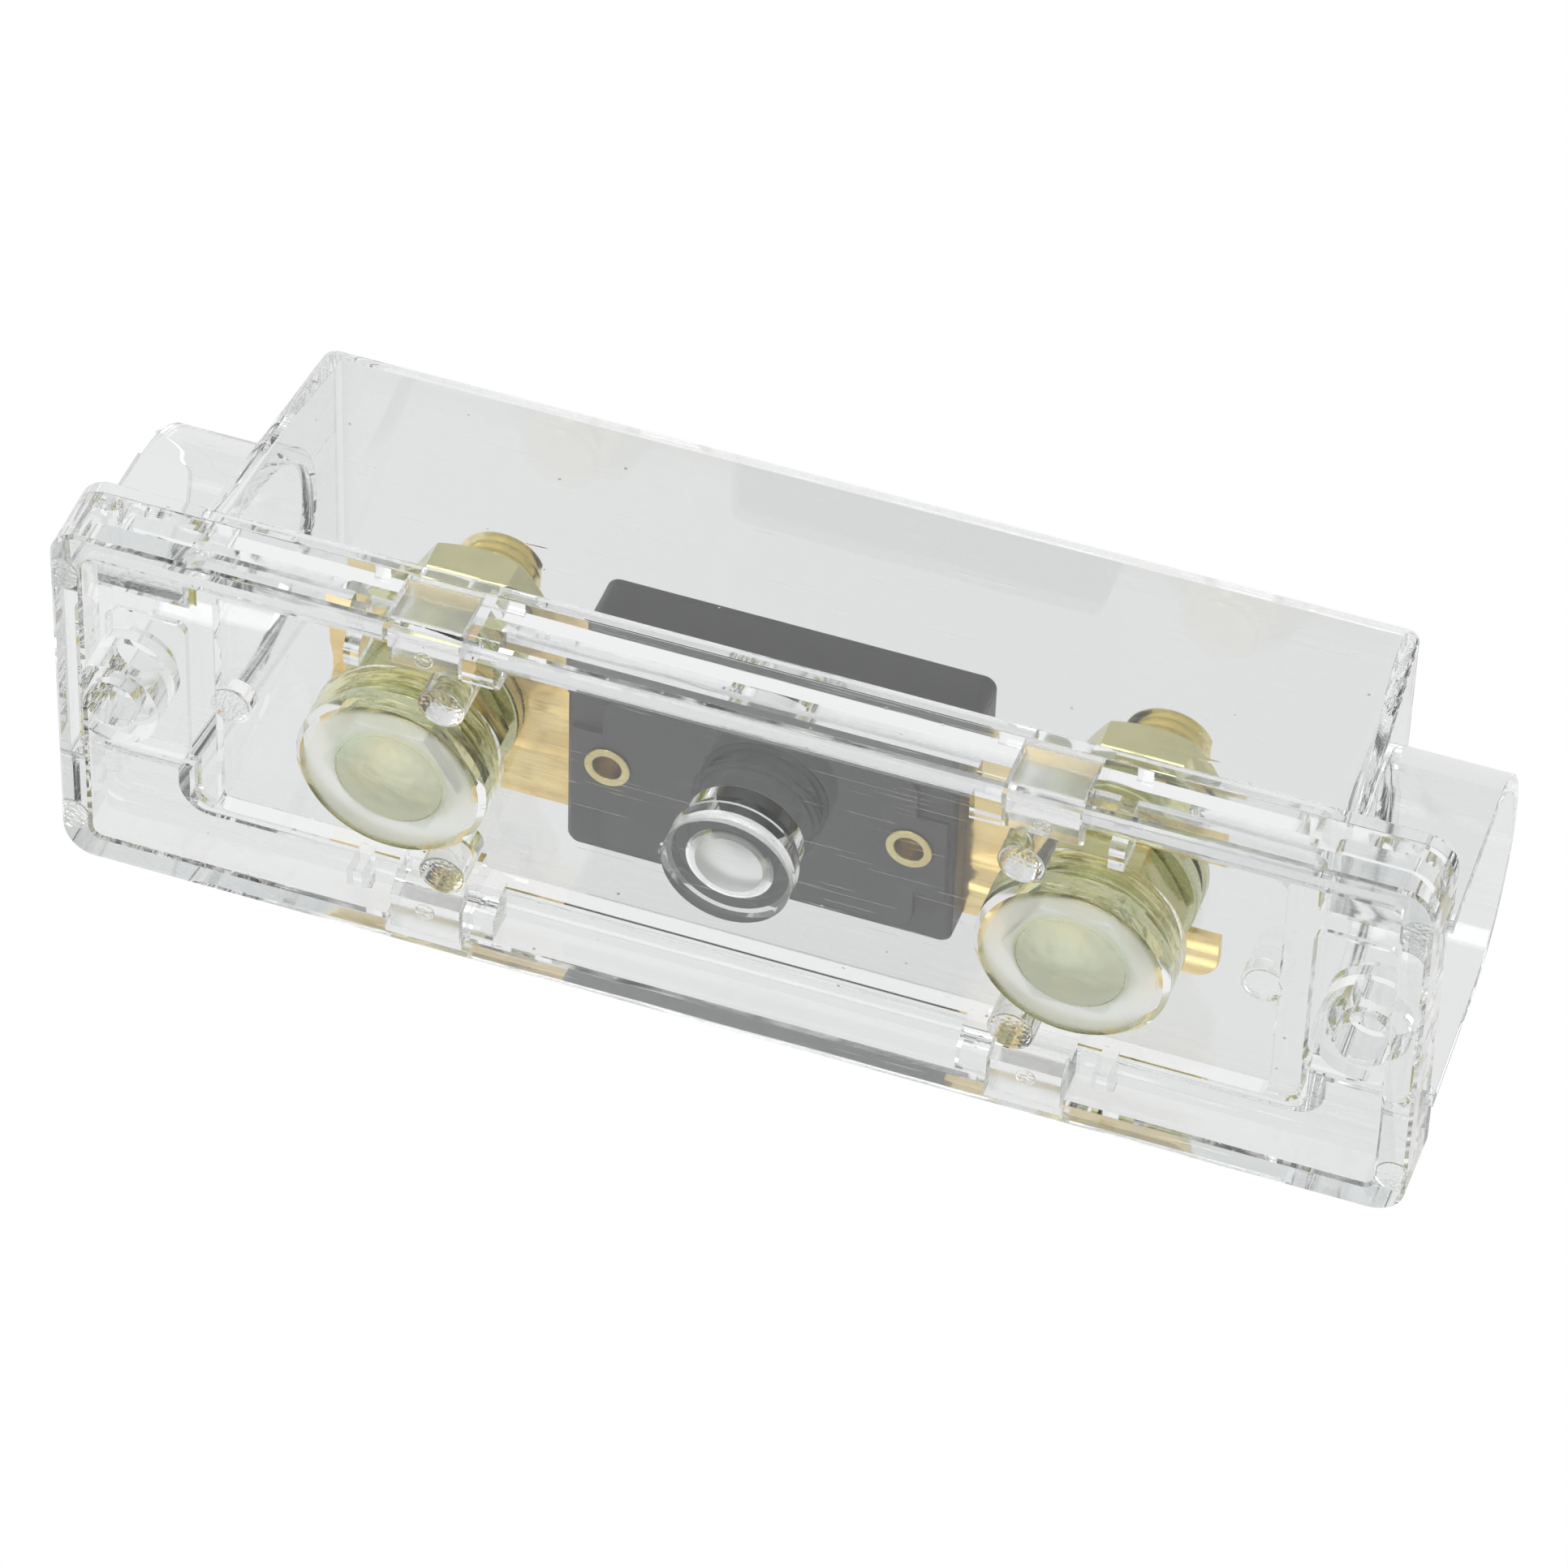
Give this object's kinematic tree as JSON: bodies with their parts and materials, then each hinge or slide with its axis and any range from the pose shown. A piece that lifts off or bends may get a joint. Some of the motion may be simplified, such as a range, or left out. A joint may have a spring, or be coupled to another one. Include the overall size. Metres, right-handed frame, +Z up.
{
  "type": "fuse holder",
  "caption": "Clear plastic fuse holder: a flat screw-down base with studs and a bolted strip fuse under a clear lift-off cover with arched wire tunnels at both ends.",
  "frame": {"origin": "middle of the base's underside rim, on the surface that the holder stands on", "axes": "+X along the holder from the closed strip end to the forked strip end, +Y across it, +Z up through the cover"},
  "size_m": [0.1228, 0.0386, 0.0364],
  "materials": {
    "clear_base": "clear polished plastic",
    "clear_cover": "clear polished plastic",
    "gold_strip": "bright gold-coloured plating",
    "case_plastic": "moulded, slightly rough",
    "case_lid_plastic": "moulded, slightly rough",
    "zinc_stud": "yellow zinc plating",
    "zinc_nut": "yellow zinc plating",
    "zinc_washer": "yellow zinc plating",
    "zinc_spring": "yellow zinc plating",
    "brass_rivet": "plain brass"
  },
  "bodies": {
    "base_body": {"base": "clear_base", "fuse_strip": "gold_strip", "fuse_case_body": "case_plastic", "fuse_case_lid": "case_lid_plastic", "stud_left": "zinc_stud", "stud_right": "zinc_stud", "lower_nut_left": "zinc_nut", "lower_nut_right": "zinc_nut", "lower_washer_left": "zinc_washer", "lower_washer_right": "zinc_washer", "upper_washer_left": "zinc_washer", "upper_washer_right": "zinc_washer", "spring_washer_left": "zinc_spring", "spring_washer_right": "zinc_spring", "top_nut_left": "zinc_nut", "top_nut_right": "zinc_nut", "fuse_rivet_left": "brass_rivet", "fuse_rivet_right": "brass_rivet"},
    "cover_body": {"cover": "clear_cover"}
  },
  "joints": [
    {"name": "cover_lift", "type": "slide", "parent": "base_body", "child": "cover_body", "axis": [0, 0, 1], "range_m": [0, 0.045]}
  ]
}
